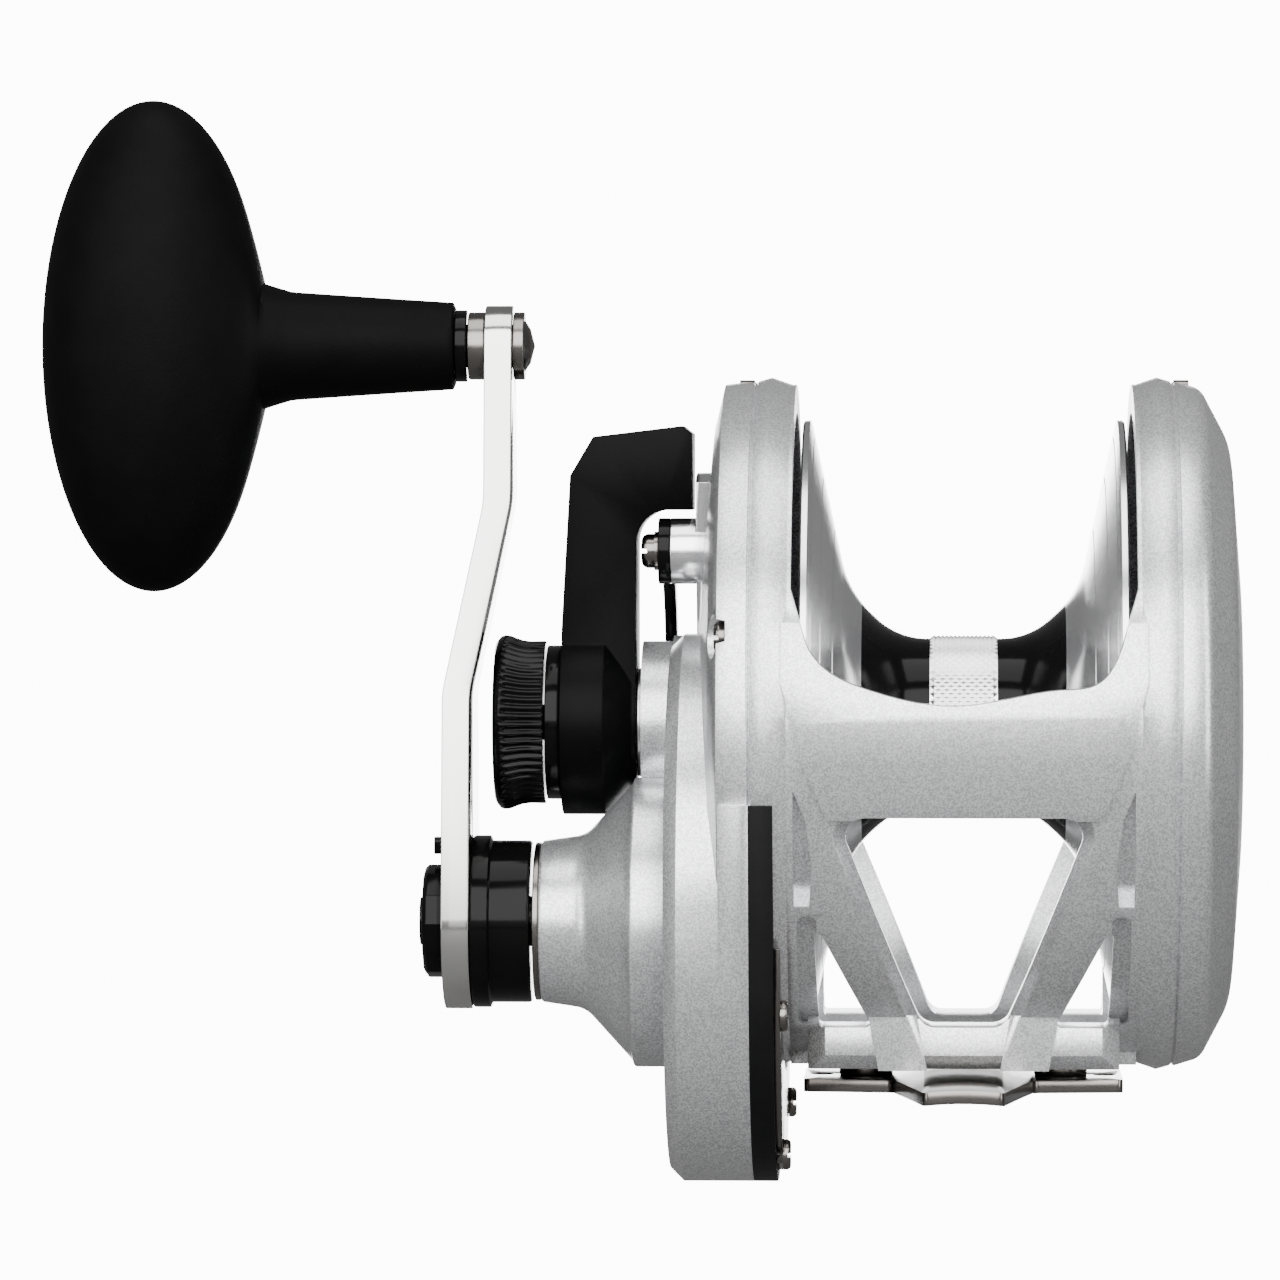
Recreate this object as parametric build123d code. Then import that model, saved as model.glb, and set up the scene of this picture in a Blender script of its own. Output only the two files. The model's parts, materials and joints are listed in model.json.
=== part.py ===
"""Two-speed lever-drag trolling reel, right-hand retrieve, in millimetres.

+X runs along the spool axis towards the tail plate, away from the handle. +Y points to the angler
and -Y to the rod tip. +Z is up. The origin is on the underside of the reel foot, midway between
the two side rings.
"""
from build123d import *
from math import asin, atan, cos, pi, radians, sin, sqrt, tan
import os

# --- driving dimensions -------------------------------------------------------------------------
SPOOL = (0.0, 51.0)  # y, z of the spool axis
CRANK_DROP = 27.5  # the crank axis lies this far below the spool axis
MODULE = 0.8  # gear module
TEETH_HIGH = (58, 13)  # main gear and pinion, high speed
TEETH_LOW = (50, 21)  # main gear and pinion, low speed
CENTRES = MODULE * sum(TEETH_HIGH) / 2  # distance between spool and crank axes
CRANK = (-sqrt(CENTRES**2 - CRANK_DROP**2), SPOOL[1] - CRANK_DROP)
ARM_THROW = 80.1  # crank axis to knob axis
KNOB = (CRANK[0], CRANK[1] + ARM_THROW)

RING_R = 48.3  # outer radius of the side rings
RING_BORE = 43.4  # radius of the spool well in the rings
SHELL_R = 47.3  # outer face of the struts and bars
RING_IN = 23.3  # inner face of each ring, from the centre plane
RING_OUT = 28.9  # seam between ring and side plate
SEAM = 0.35  # bevel on each side of a seam
DOME_X = 36.2  # side plate's face near its centre
SPOOL_R = 42.3  # flange radius
ARBOR_R = 11.8
FLANGE_GROOVES = (27.0, 34.2, 39.8)  # radii of the thin grooves turned in each flange
DRUM_R = 36.0  # gear case around the crank axis
DRUM_X = -40.5  # gear case face
DRUM_RISE = 4.1  # how far the drum is drawn upwards
SKIRT_X = -33.0  # the case widens to meet the ring from here to the seam
WALL = 2.0  # casting wall
BRIDGE_X = -25.6  # frame side of the bridge plate
CONE_X = -45.6  # step of the gear case cone
NOSE_X = -58.7  # end of the gear case nose
FOOT_T = 1.75  # foot plate thickness
TONGUE_Y = 40.0  # reach of the foot's tongue to front and rear
BASE_Z = (4.4, 11.4)  # underside and top of the frame's base
SHAFT_R = 2.5  # spool shaft
SLEEVE_R = 3.5  # drive sleeve that carries the pinions
GEAR_SHAFT_R = 3.5
FIT = 0.05  # radial clearance of a running fit
FOOT_SCREW_X = (-13.6, 13.6)
PLATE_SCREW_ANGLES = (73.0, -20.0, -66.0)  # handle plate screws, from straight up
BRIDGE_SCREWS = ((-38.4, 12.8), (-22.0, -7.5), (14.0, -3.5))  # y, z
RIBS = 60  # flutes on the preset knob
STUD_X = 19.7  # rod clamp stud holes in the foot, from the centre plane
STUD_HOLE_R = 1.6
DOG_PIN = (CRANK[0] - 9.5, CRANK[1] + 10.2)  # anti-reverse dog's pivot, y, z
CLICKER_R = 22.0  # clicker button's distance from the spool axis
CLICKER_ANGLE = 55.0  # and its angle from straight down towards the angler
POST_R = 24.4  # quadrant posts lie on this radius
POST_ANGLES = (9.4, -78.0)
SEAM_SCREW_X = 31.2
SEAM_SCREW_R = 46.8
SEAM_SCREW_ANGLE = 4.0
LEVER_IN = 29.8  # underside of the lever's head, from the spool axis
LEVER_TOP = 41.5


# --- helpers ------------------------------------------------------------------------------------
def rod(x0, x1, radius, axis=SPOOL):
    """A cylinder along X between two stations."""
    height = abs(x1 - x0)
    return Pos((x0 + x1) / 2, *axis) * Rot(0, 90, 0) * Cylinder(radius, height)


def tube(x0, x1, outer, inner, axis=SPOOL):
    """A hollow cylinder along X."""
    return rod(x0, x1, outer, axis) - rod(x0 - 1, x1 + 1, inner, axis)


def turned(points, rounds=None, axis=SPOOL):
    """A turned piece from its half section in (x, radius); rounds maps a point's index to a radius."""
    face = make_face(Polyline(*points, close=True))
    for index, radius in (rounds or {}).items():
        corner = Vector(*points[index], 0)
        nearest = face.vertices().sort_by_distance(corner)[0]
        face = fillet(nearest, radius)
    return Pos(0, *axis) * revolve(face, Axis.X, 360)


def wall_plane(x=0.0, axis=(0.0, 0.0)):
    """A plane square to X whose own x is +Y and own y is +Z."""
    return Plane(origin=(x, *axis), x_dir=(0, 1, 0), z_dir=(1, 0, 0))


def plate(sketch, x0, x1, axis=(0.0, 0.0)):
    """A sketch in (y, z) made solid between two stations on X."""
    return extrude(wall_plane(min(x0, x1), axis) * sketch, abs(x1 - x0))


def through_y(sketch, y0, y1):
    """A sketch in (x, z) made solid between two depths on Y."""
    plane = Plane(origin=(0, y1, 0), x_dir=(1, 0, 0), z_dir=(0, -1, 0))
    return extrude(plane * sketch, y1 - y0)


def around(radius, angle, axis=SPOOL):
    """The (y, z) point at an angle from straight up, positive towards the rod tip."""
    return (axis[0] - radius * sin(radians(angle)), axis[1] + radius * cos(radians(angle)))


def mirrored(points):
    """An outline from its right half, listed from one crossing of the centre line to the other."""
    return list(points) + [(-x, z) for x, z in reversed(points)]


def rounded(points, radius):
    """A closed polygon with every corner rounded."""
    face = make_face(Polyline(*points, close=True))
    return fillet(face.vertices(), radius)


def pan_screw(x_head, x_tip, axis, head_r=2.3, head_h=1.5, shank_r=1.2, way=1):
    """A slotted pan-head screw along X. way is +1 where the head faces -X."""
    head = rod(x_head, x_head + way * head_h, head_r, axis)
    rim = head.edges().filter_by(GeomType.CIRCLE).sort_by(Axis.X)
    head = fillet(rim[0] if way > 0 else rim[-1], head_h * 0.55)
    shank = rod(x_head + way * head_h * 0.8, x_tip, shank_r, axis)
    slot = Pos(x_head, *axis) * Box(head_h * 0.9, head_r * 2.4, 0.6)
    return head + shank - slot


def gear_outline(teeth, phase=0.0, thinning=0.14, pressure=25.0, segments=3):
    """Involute teeth as a closed outline; phase turns it by that share of a tooth pitch."""
    pitch_r = MODULE * teeth / 2
    base_r = pitch_r * cos(radians(pressure))
    tip_r = pitch_r + 0.9 * MODULE
    root_r = pitch_r - 1.2 * MODULE

    def spread(r):
        """Half the tooth's angle at radius r."""
        angle = sqrt(max((r / base_r) ** 2 - 1, 0.0))
        at_pitch = tan(radians(pressure)) - radians(pressure)
        rolled = angle - atan(angle)
        return (pi / 2 - thinning / MODULE) / teeth + at_pitch - rolled

    flank_start = max(base_r, root_r)
    radii = [flank_start + (tip_r - flank_start) * i / segments for i in range(segments + 1)]
    flank = [(r, spread(r)) for r in radii]
    if root_r < flank_start:
        flank.insert(0, (root_r, spread(flank_start)))
    points = []
    for tooth in range(teeth):
        middle = 2 * pi * (tooth + phase) / teeth
        polar = [(r, middle - a) for r, a in flank] + [(r, middle + a) for r, a in reversed(flank)]
        points += [(r * cos(a), r * sin(a)) for r, a in polar]
    return make_face(Polyline(*points, close=True))


def spur_gear(teeth, x0, x1, axis, facing, phase, bore_r):
    """A spur gear along X with tooth number zero facing the other axis."""
    toward = Vector(0, facing[0] - axis[0], facing[1] - axis[1]).normalized()
    plane = Plane(origin=(x0, *axis), x_dir=toward, z_dir=(1, 0, 0))
    blank = extrude(plane * gear_outline(teeth, phase), x1 - x0)
    return blank - rod(x0 - 1, x1 + 1, bore_r, axis)


# --- frame and plates ---------------------------------------------------------------------------
def case_outline(grow=0.0):
    """The gear case seen along X: the drum, the side ring's circle and their common tangents."""
    drop = (SPOOL[0] - CRANK[0], SPOOL[1] - CRANK[1])
    along = Vector(-drop[0], -drop[1], 0).normalized()
    lean = asin((RING_R - DRUM_R) / CENTRES)
    corners = []
    for side in (1, -1):
        tilt = side * (pi / 2 - lean)
        nx = along.X * cos(tilt) - along.Y * sin(tilt)
        ny = along.X * sin(tilt) + along.Y * cos(tilt)
        ring = (SPOOL[0] + (RING_R + grow) * nx, SPOOL[1] + (RING_R + grow) * ny)
        drum = (CRANK[0] + (DRUM_R + grow) * nx, CRANK[1] + (DRUM_R + grow) * ny)
        corners.append((ring, drum))
    (ring_a, drum_a), (ring_b, drum_b) = corners
    skirt = make_face(Polyline(ring_a, drum_a, drum_b, ring_b, close=True))
    return skirt + Pos(*CRANK) * Circle(DRUM_R + grow)


def drum_outline(grow=0.0):
    """The drum alone, seen along X: a circle about the crank axis, drawn upwards into an oblong."""
    radius = DRUM_R + grow
    face = Circle(radius) + Pos(0, DRUM_RISE) * Circle(radius)
    face += Pos(0, DRUM_RISE / 2) * Rectangle(2 * radius, DRUM_RISE)
    return Pos(*CRANK) * face


def saddle(z_low, z_mid, z_top):
    """The open space over a crossbar, down to its swept-down top edge, seen along Y."""
    half = RING_IN - 1.7
    edge = Spline((-half, z_top), (-12.8, z_mid), (0, z_low), (12.8, z_mid), (half, z_top),
                  tangents=[(0.25, -1, 0), (0.25, 1, 0)])
    lid = Polyline((half, z_top), (RING_IN, z_top + 6), (RING_IN, 120), (-RING_IN, 120),
                   (-RING_IN, z_top + 6), (-half, z_top))
    return make_face(edge + lid)


def window(top_half, foot_half, z_foot, z_top, radius):
    """A V-shaped window, wide at the top."""
    points = [(-top_half, z_top), (top_half, z_top), (foot_half, z_foot), (-foot_half, z_foot)]
    return rounded(points, radius)


def corner_gap(side, z_foot):
    """The opening between a strut, the side ring and the base."""
    points = [(20.3, 26.0), (19.8, z_foot), (12.4, z_foot)]
    return rounded([(side * x, z) for x, z in points], 0.6)


def crevice(side):
    """The narrow recess between a strut's upper half and the side ring."""
    points = [(22.9, 43.5), (22.9, 27.6), (20.8, 27.6), (20.4, 33.0), (21.2, 39.5)]
    return make_face(Polyline(*[(side * x, z) for x, z in points], close=True))


def corner_pocket(side):
    """The round-topped pocket beside the corner opening."""
    points = [(22.5, 26.3), (22.5, 10.6), (19.4, 10.6), (19.9, 26.3)]
    return rounded([(side * x, z) for x, z in points], 0.9)


def shield():
    """The raised panel on the front crossbar, seen along Y."""
    points = [(24.5, 66.0), (24.5, 58.0), (21.8, 47.6), (18.3, 39.5)]
    return make_face(Polyline(*mirrored(points), close=True))


def strut_foot(side):
    """The end of a strut where it stands in front of the base."""
    points = [(13.0, 12.0), (6.4, 12.0), (5.0, BASE_Z[0]), (11.6, BASE_Z[0])]
    return make_face(Polyline(*[(side * x, z) for x, z in points], close=True))


def front_window():
    return window(17.1, 5.6, 10.2, 39.9, 2.6)


def cut_front_window(shell):
    """Cuts the front window through the shell and bevels the two struts' inner edges."""
    shell -= through_y(front_window(), -60, -10)
    rim = []
    for edge in shell.edges():
        middle = edge @ 0.5
        radius = sqrt((middle.Y - SPOOL[0]) ** 2 + (middle.Z - SPOOL[1]) ** 2)
        on_face = abs(radius - SHELL_R) < 0.05 and middle.Y < -10
        if on_face and 4 < abs(middle.X) < 17.2 and 12 < middle.Z < 39.6:
            rim.append(edge)
    return chamfer(rim, 1.6)


def ring_profile(x_in, x_out):
    """Half section of a side ring: a flat-topped rim with a low ridge."""
    ridge = x_in + 0.62 * (x_out - x_in)
    return [(x_in, RING_BORE), (x_in, RING_R - 1.2), (ridge, RING_R), (x_out - SEAM, RING_R - 0.5),
            (x_out, RING_R - 0.5 - SEAM), (x_out, RING_BORE)]


def make_frame():
    """Both rings, the front crossbar with its V, the lower rear bar and the base, in one casting."""
    rings = turned(ring_profile(RING_IN, RING_OUT), {1: 0.8})
    rings += turned([(-x, r) for x, r in ring_profile(RING_IN, RING_OUT)], {1: 0.8})
    shell = tube(-RING_IN - 0.5, RING_IN + 0.5, SHELL_R, RING_BORE)
    shell = cut_front_window(shell)
    shell += through_y(shield(), -60, 0) & tube(-25, 25, SHELL_R + 0.9, RING_BORE + 1)
    for side in (-1, 1):
        deep = through_y(crevice(side), -60, 60) + through_y(corner_pocket(side), -60, 60)
        shell -= deep - rod(-30, 30, RING_BORE + 1.3)
    base = Pos(0, 0, sum(BASE_Z) / 2) * Box(2 * RING_IN - 4.0, 50, BASE_Z[1] - BASE_Z[0])
    base = chamfer(base.edges().filter_by(Axis.X).group_by(Axis.Z)[0], 2.0)
    base = chamfer(base.edges().filter_by(Axis.Z), 2.4)
    base += Pos(0, 0, 6.4) * Box(2 * RING_IN + 1.0, 30, 4.0)
    for side in (-1, 1):
        base += through_y(strut_foot(side), -26.4, -20) + through_y(strut_foot(side), 20, 26.4)
    base -= rod(-RING_IN - 2, RING_IN + 2, RING_BORE)
    body = shell + base
    body -= through_y(saddle(54.9, 57.0, 64.5), -60, 0)
    body -= through_y(saddle(50.0, 52.0, 60.0), 0, 60)
    body -= through_y(front_window(), -60, -10)
    body -= through_y(window(17.2, 4.5, 9.1, 38.0, 2.4), 10, 60)
    for side in (-1, 1):
        body -= through_y(corner_gap(side, 10.2), -60, -10) + through_y(corner_gap(side, 9.1), 10, 60)
    frame = rings + body
    frame -= plate(case_outline(), -RING_OUT - 1, BRIDGE_X)
    frame -= Pos(0, 0, BASE_Z[0] - 5) * Box(2 * RING_IN, 60, 10)
    for x in FOOT_SCREW_X:
        frame -= Pos(x, 0, BASE_Z[0] + 2) * Cylinder(1.5, 8)
    return frame


def dome_profile(seam, face, rim_step=4.0, centre_r=0.0):
    """Half section of a domed side plate from the seam out to its face, as a solid disc."""
    return [(seam, centre_r), (seam, RING_R - 0.5 - SEAM), (seam + SEAM, RING_R - 0.5),
            (seam + rim_step, RING_R - 1.6),
            (face - 1.4, RING_R - 9.0), (face, RING_R - 26.0), (face, centre_r)]


def swung(solid, angle):
    """The solid turned about the spool axis, from straight down towards the angler."""
    return solid.rotate(Axis((0, *SPOOL), (1, 0, 0)), angle)


def make_tail_plate():
    """The plate opposite the handle: a shallow dome, hollow inside, with the shaft boss."""
    outer = turned(dome_profile(RING_OUT, 38.2), {3: 2.6, 4: 9.0})
    inner = turned([(RING_OUT - 1, 0), (RING_OUT - 1, RING_BORE), (33.0, RING_BORE - 2),
                    (35.6, RING_R - 26), (36.0, 0)])
    shell = outer - inner + rod(28.0, 37.0, 6.5)
    slot = Pos(34, 0, SPOOL[1] - CLICKER_R) * Box(20, 5.4, 10.4)
    return shell - rod(27, 35.0, SHAFT_R) - swung(slot, CLICKER_ANGLE) - seam_pocket(1)


def make_handle_plate():
    """The gear-side casting: domed plate, gear case drum, lever boss and crank bearing seat."""
    dome = turned([(-RING_OUT, 0), (-RING_OUT, RING_R - 0.5 - SEAM), (-RING_OUT - SEAM, RING_R - 0.5),
                   (-33.2, RING_R - 1.0), (-34.5, 41.9), (-35.3, 34.0), (-DOME_X, 22.0), (-DOME_X, 0)])
    drum = plate(drum_outline(), DRUM_X, -RING_OUT)
    drum = chamfer(drum.faces().sort_by(Axis.X)[0].edges(), 1.8)
    body = dome + drum + plate(case_outline(), SKIRT_X, -RING_OUT)
    body += rod(DRUM_X, -34, 12.2) + rod(-44.8, -34, 11.4)
    body -= plate(drum_outline(-WALL - 0.2), DRUM_X + WALL, -RING_OUT + 1)
    body -= plate(case_outline(-WALL - 0.2), SKIRT_X + WALL, -RING_OUT + 1)
    body -= turned([(-28, 0), (-28, 41), (-32.4, 41), (-34.0, 22), (-34.0, 0)])
    body -= rod(DRUM_X + WALL, -28, 10.2)
    body -= rod(-44.4, -28, 6.0) + rod(-46, -28, 4.0)
    body -= rod(-42, -28, 17.5, CRANK)
    for angle in PLATE_SCREW_ANGLES:
        body -= rod(-60, -32.0, 3.0, around(44.8, angle)) + rod(-40, -20, 1.3, around(44.2, angle))
    return body - seam_pocket(-1)


def seam_pocket(side):
    """The pocket beside the top of a seam that takes a small screw."""
    return rod(side * (RING_OUT - 1), side * SEAM_SCREW_X, 1.5, around(SEAM_SCREW_R, SEAM_SCREW_ANGLE))


def make_seam_screws():
    """The small screw heads beside the top of each seam."""
    spot = around(SEAM_SCREW_R, SEAM_SCREW_ANGLE)
    return Compound([rod(side * (RING_OUT + 0.2), side * SEAM_SCREW_X, 1.2, spot)
                     - rod(side * (RING_OUT - 1), side * (RING_OUT + 0.9), 0.6, spot) for side in (-1, 1)])


def make_cone():
    """The stepped cone and nose that close the gear case around the crank shaft."""
    outer = turned([(DRUM_X, 0), (DRUM_X, 20.2), (CONE_X, 20.2), (CONE_X - 0.4, 19.2), (-52.5, 12.1),
                    (NOSE_X, 11.2), (NOSE_X, 0)], {2: 0.5, 4: 4.0, 5: 0.6}, CRANK)
    outer -= rod(-46, -40, 11.4) + rod(-44, -45.2, 1.0, DOG_PIN)
    hollow = rod(DRUM_X + 1, -44.2, 17.0, CRANK) + rod(-44, -55, 8.0, CRANK)
    return outer - hollow - rod(-58.2, -54, 7.0, CRANK) - rod(-60, -57, 5.0, CRANK)


def make_bridge():
    """The black plate that closes the gear case and carries the inner bearings."""
    body = plate(case_outline(), -RING_OUT, BRIDGE_X)
    body -= rod(-27.2, -20, RING_BORE)
    body += rod(-RING_OUT, BRIDGE_X, 9.0, CRANK) + rod(-RING_OUT, BRIDGE_X, 8.5)
    body -= rod(-30, -20, 6.5, CRANK) + rod(-30, -20, 6.0)
    for spot in BRIDGE_SCREWS:
        body -= rod(-30, -20, 1.3, spot)
    return body


def make_bridge_inner():
    """The thin steel plate under the bridge's foot, following the ring and the drum."""
    band = case_outline(grow=-1.6) - Pos(*SPOOL) * Circle(RING_R + 0.4)
    low = Pos(CRANK[0], 2.0) * Rectangle(90, 40)
    body = plate(band & low, BRIDGE_X, BRIDGE_X + 0.9)
    for spot in BRIDGE_SCREWS:
        body -= rod(-30, -20, 1.3, spot)
    return body


# --- spool and its drive ------------------------------------------------------------------------
def make_spool():
    """The machined spool: conical grooved flanges, wide fillets into the arbor, recessed ends."""
    foot, edge = (16.0, 18.2), (21.1, 41.6)
    slope = (edge[0] - foot[0]) / (edge[1] - foot[1])
    right = [(9.0, ARBOR_R), foot]
    for r in FLANGE_GROOVES:
        x = foot[0] + slope * (r - foot[1])
        right += [(x, r), (x + 0.3, r + 0.2), (x + 0.4 * slope, r + 0.4)]
    right += [edge, (21.3, SPOOL_R), (22.3, SPOOL_R), (22.3, 38.6), (21.6, 38.6), (18.9, 24.5), (18.9, 5.5)]
    outline = [(-x, r) for x, r in reversed(right)] + right
    count = len(right)
    return turned(outline, {count - 2: 14.0, count - 1: 10.0, count: 10.0, count + 1: 14.0})


def make_arbor_band():
    """The knurled band set round the middle of the arbor."""
    return tube(-4.7, 4.7, ARBOR_R + 0.45, ARBOR_R)


def make_drive_plate():
    """The drag's drive plate on its hub."""
    return tube(-21.9, -19.8, 23.5, SLEEVE_R) + tube(-24.0, -21.9, 9.0, SLEEVE_R)


def make_clicker_gear():
    """The toothed clicker ring on the spool's tail end."""
    teeth = 18
    points = []
    for tooth in range(2 * teeth):
        angle = pi * tooth / teeth
        radius = 9.6 if tooth % 2 else 8.4
        points.append((radius * cos(angle), radius * sin(angle)))
    ring = plate(make_face(Polyline(*points, close=True)), 18.9, 20.9, SPOOL)
    return ring - rod(10, 30, 5.5)


def bearing(x0, x1, outer_r, inner_r, axis=SPOOL):
    """A shielded ball bearing as one ring with a shallow groove in each face."""
    ring = tube(x0, x1, outer_r, inner_r, axis)
    middle = (outer_r + inner_r) / 2
    for start in (x0, x1 - 0.25):
        ring -= rod(start, start + 0.25, middle + 0.45, axis) - rod(start, start + 0.25, middle - 0.45, axis)
    return ring


def make_ratchet():
    """The anti-reverse ratchet on the gear shaft."""
    teeth = 12
    points = []
    for tooth in range(teeth):
        start = 2 * pi * tooth / teeth
        points.append((10.0 * cos(start), 10.0 * sin(start)))
        back = start + 0.08
        points.append((8.2 * cos(back), 8.2 * sin(back)))
    body = plate(make_face(Polyline(*points, close=True)), -42.4, -40.2, CRANK)
    return body - rod(-50, -30, GEAR_SHAFT_R, CRANK)


# --- crank --------------------------------------------------------------------------------------
def make_arm():
    """The bent, polished arm: one bar that steps towards the reel halfway up."""
    hub_x = (-72.0, -68.2)
    top_x = (-66.4, -62.6)
    bend = (55.6, 81.9)
    low, high = CRANK[1] - 15, KNOB[1] + 12
    side = [(hub_x[0], low), (hub_x[0], bend[0]), (top_x[0], bend[1]), (top_x[0], high),
            (top_x[1], high), (top_x[1], bend[1]), (hub_x[1], bend[0]), (hub_x[1], low)]
    profile = make_face(Polyline(*side, close=True))
    for x, z in (side[1], side[2], side[5], side[6]):
        profile = fillet(profile.vertices().sort_by_distance(Vector(x, z, 0))[0], 14.0)
    bar = through_y(profile, CRANK[0] - 20, CRANK[0] + 20)
    hub_r, tip_r = 12.2, 5.6
    lean = asin((hub_r - tip_r) / ARM_THROW)
    flank = [(hub_r * cos(lean), CRANK[1] + hub_r * sin(lean)),
             (tip_r * cos(lean), KNOB[1] + tip_r * sin(lean))]
    taper = make_face(Polyline(*[(CRANK[0] + y, z) for y, z in mirrored(flank)], close=True))
    face = taper + Pos(*CRANK) * Circle(hub_r) + Pos(*KNOB) * Circle(tip_r)
    arm = bar & plate(face, -80, -55)
    return arm - rod(-80, -60, GEAR_SHAFT_R, CRANK) - rod(-80, -50, 3.0, KNOB)


def make_crank_sleeve():
    """The black sleeve and collar between the arm and the gear case nose."""
    return turned([(-68.2, GEAR_SHAFT_R), (-68.2, 12.0), (-65.7, 12.0), (-65.4, 11.3), (-59.9, 11.3),
                   (-59.9, GEAR_SHAFT_R)], {1: 0.5, 4: 0.5}, CRANK)


def make_arm_nut():
    """The faceted black nut that holds the arm, open in the middle for the push button."""
    body = plate(RegularPolygon(7.9, 12), -75.0, -72.0, CRANK)
    body = chamfer(body.faces().sort_by(Axis.X)[0].edges(), 0.6)
    return body - rod(-80, -70, 3.5, CRANK)


def make_push():
    """The low-gear push button with its rod down the middle of the gear shaft."""
    return rod(-75.6, -73.4, 3.3, CRANK) + rod(-73.5, -40.0, 1.5, CRANK)


def make_gear_shaft():
    """The hollow shaft that carries the main gears, the ratchet and the arm."""
    return rod(-71.0, -25.9, GEAR_SHAFT_R, CRANK) - rod(-80, -34.0, 1.6, CRANK)


def make_catch():
    """The small catch above the nut that lets the push button spring back."""
    body = Pos(-72.85, CRANK[0], CRANK[1] + 10.6) * Box(1.5, 4.4, 2.4)
    return fillet(body.edges().filter_by(Axis.X), 0.7)


def make_grip():
    """The T-shaped rubber grip: a fat upright ellipsoid on a tapering neck."""
    centre_x, half_x, half_z = -112.9, 15.5, 34.2
    tip_r = 9.0  # the rounding at each end of the oval
    side_r = (half_x**2 + (half_z - tip_r) ** 2 - tip_r**2) / (2 * (half_x - tip_r))
    tip = Vector(0, half_z - tip_r)
    out = (tip - Vector(half_x - side_r, 0)).normalized()
    meet = tip + out * tip_r
    middle = tip + (out + Vector(0, 1)).normalized() * tip_r
    top = ThreePointArc((0, half_z), middle, meet)
    flank = ThreePointArc(meet, (half_x, 0), (meet.X, -meet.Y))
    low = ThreePointArc((meet.X, -meet.Y), (middle.X, -middle.Y), (0, -half_z))
    half = make_face(top + flank + low + Line((0, -half_z), (0, half_z)))
    head = Pos(centre_x, *KNOB) * Rot(90, 0, 0) * Rot(0, 180, 0) * revolve(half, Axis.Y, 360)
    neck = turned([(-108, 0), (-108, 10.0), (-99.0, 10.0), (-93.5, 7.6), (-70.7, 5.7), (-70.7, 0)],
                  {3: 12.0, 4: 0.5}, KNOB)
    return head + neck - rod(-106, -60, 3.0 + FIT, KNOB)


def make_knob_post():
    """The post that the knob turns on, riveted over behind the arm."""
    head = turned([(-59.6, 0), (-60.2, 2.4), (-61.0, 3.6), (-61.0, 0)], None, KNOB)
    return head + rod(-105.0, -61.0, 3.0, KNOB)


# --- lever, preset knob and quadrant ------------------------------------------------------------
def make_lever():
    """The drag lever: hub, leg and a head that reaches inward over the quadrant."""
    outline = [(-56.0, 0.0), (-56.0, 12.9), (-54.8, 34.6), (-51.6, 40.0), (-39.2, LEVER_TOP),
               (-37.8, 40.4), (-37.8, LEVER_IN), (-45.6, LEVER_IN), (-45.6, 0.0)]
    face = make_face(Polyline(*outline, close=True))
    face = fillet(face.vertices().sort_by_distance(Vector(-45.6, LEVER_IN, 0))[0], 4.5)
    side = Pos(0, 0, SPOOL[1]) * through_y(face, -20, 20)
    leg = side & plate(Pos(0, 22) * Rectangle(13.0, 44), -60, -30, SPOOL)
    hub = turned([(-56.0, 0), (-56.0, 12.9), (-50.0, 12.9), (-46.2, 8.6), (-45.6, 8.6), (-45.6, 0)])
    return leg + hub - rod(-60, -40, 4.0)


def make_preset_knob():
    """The fluted, waisted drag preset knob."""
    body = turned([(-65.4, 0), (-65.4, 11.2), (-64.6, 12.2), (-63.2, 12.2), (-61.4, 11.5),
                   (-58.4, 11.4), (-58.4, 0)], {2: 0.5, 3: 1.0, 4: 2.0})
    for index in range(RIBS):
        body -= rod(-64.2, -62.4, 0.3, around(12.25, 360 * index / RIBS))
    return body - rod(-62.0, -50, SHAFT_R + FIT)


def sector(r_in, r_out, start, end):
    """An annular sector about the spool axis, in (y, z), between two angles from straight up."""
    far = 3 * r_out
    steps = [start + (end - start) * i / 4 for i in range(5)]
    fan = [SPOOL] + [around(far, a) for a in steps]
    ring = Pos(*SPOOL) * (Circle(r_out) - Circle(r_in))
    return ring & make_face(Polyline(*fan, close=True))


def make_quadrant_plate():
    """The black arc that the lever sweeps over, with a round pad at each post."""
    face = sector(21.8, 27.0, *POST_ANGLES)
    for angle in POST_ANGLES:
        face += Pos(*around(POST_R, angle)) * Circle(4.6)
    for angle in POST_ANGLES:
        face -= Pos(*around(POST_R, angle)) * Circle(1.3)
    return plate(face, -42.5, -40.8)


def make_quadrant_base(plate_solid):
    """The raised silver fan on the side plate under the quadrant."""
    face = sector(12.8, 35.0, 16.0, -84.0)
    base = plate(face - drum_outline(), -37.2, -34.2) - plate_solid
    for angle in POST_ANGLES:
        base -= rod(-40, -30, 1.2, around(POST_R, angle))
    return base


def make_posts(plate_solid, base_solid):
    """The two silver posts between the side plate and the quadrant."""
    posts = []
    for angle in POST_ANGLES:
        spot = around(POST_R, angle)
        post = rod(-40.8, -34.0, 4.6, spot) - rod(-41, -33, 1.2, spot)
        posts.append(post - plate_solid - base_solid)
    return Compound(posts)


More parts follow.
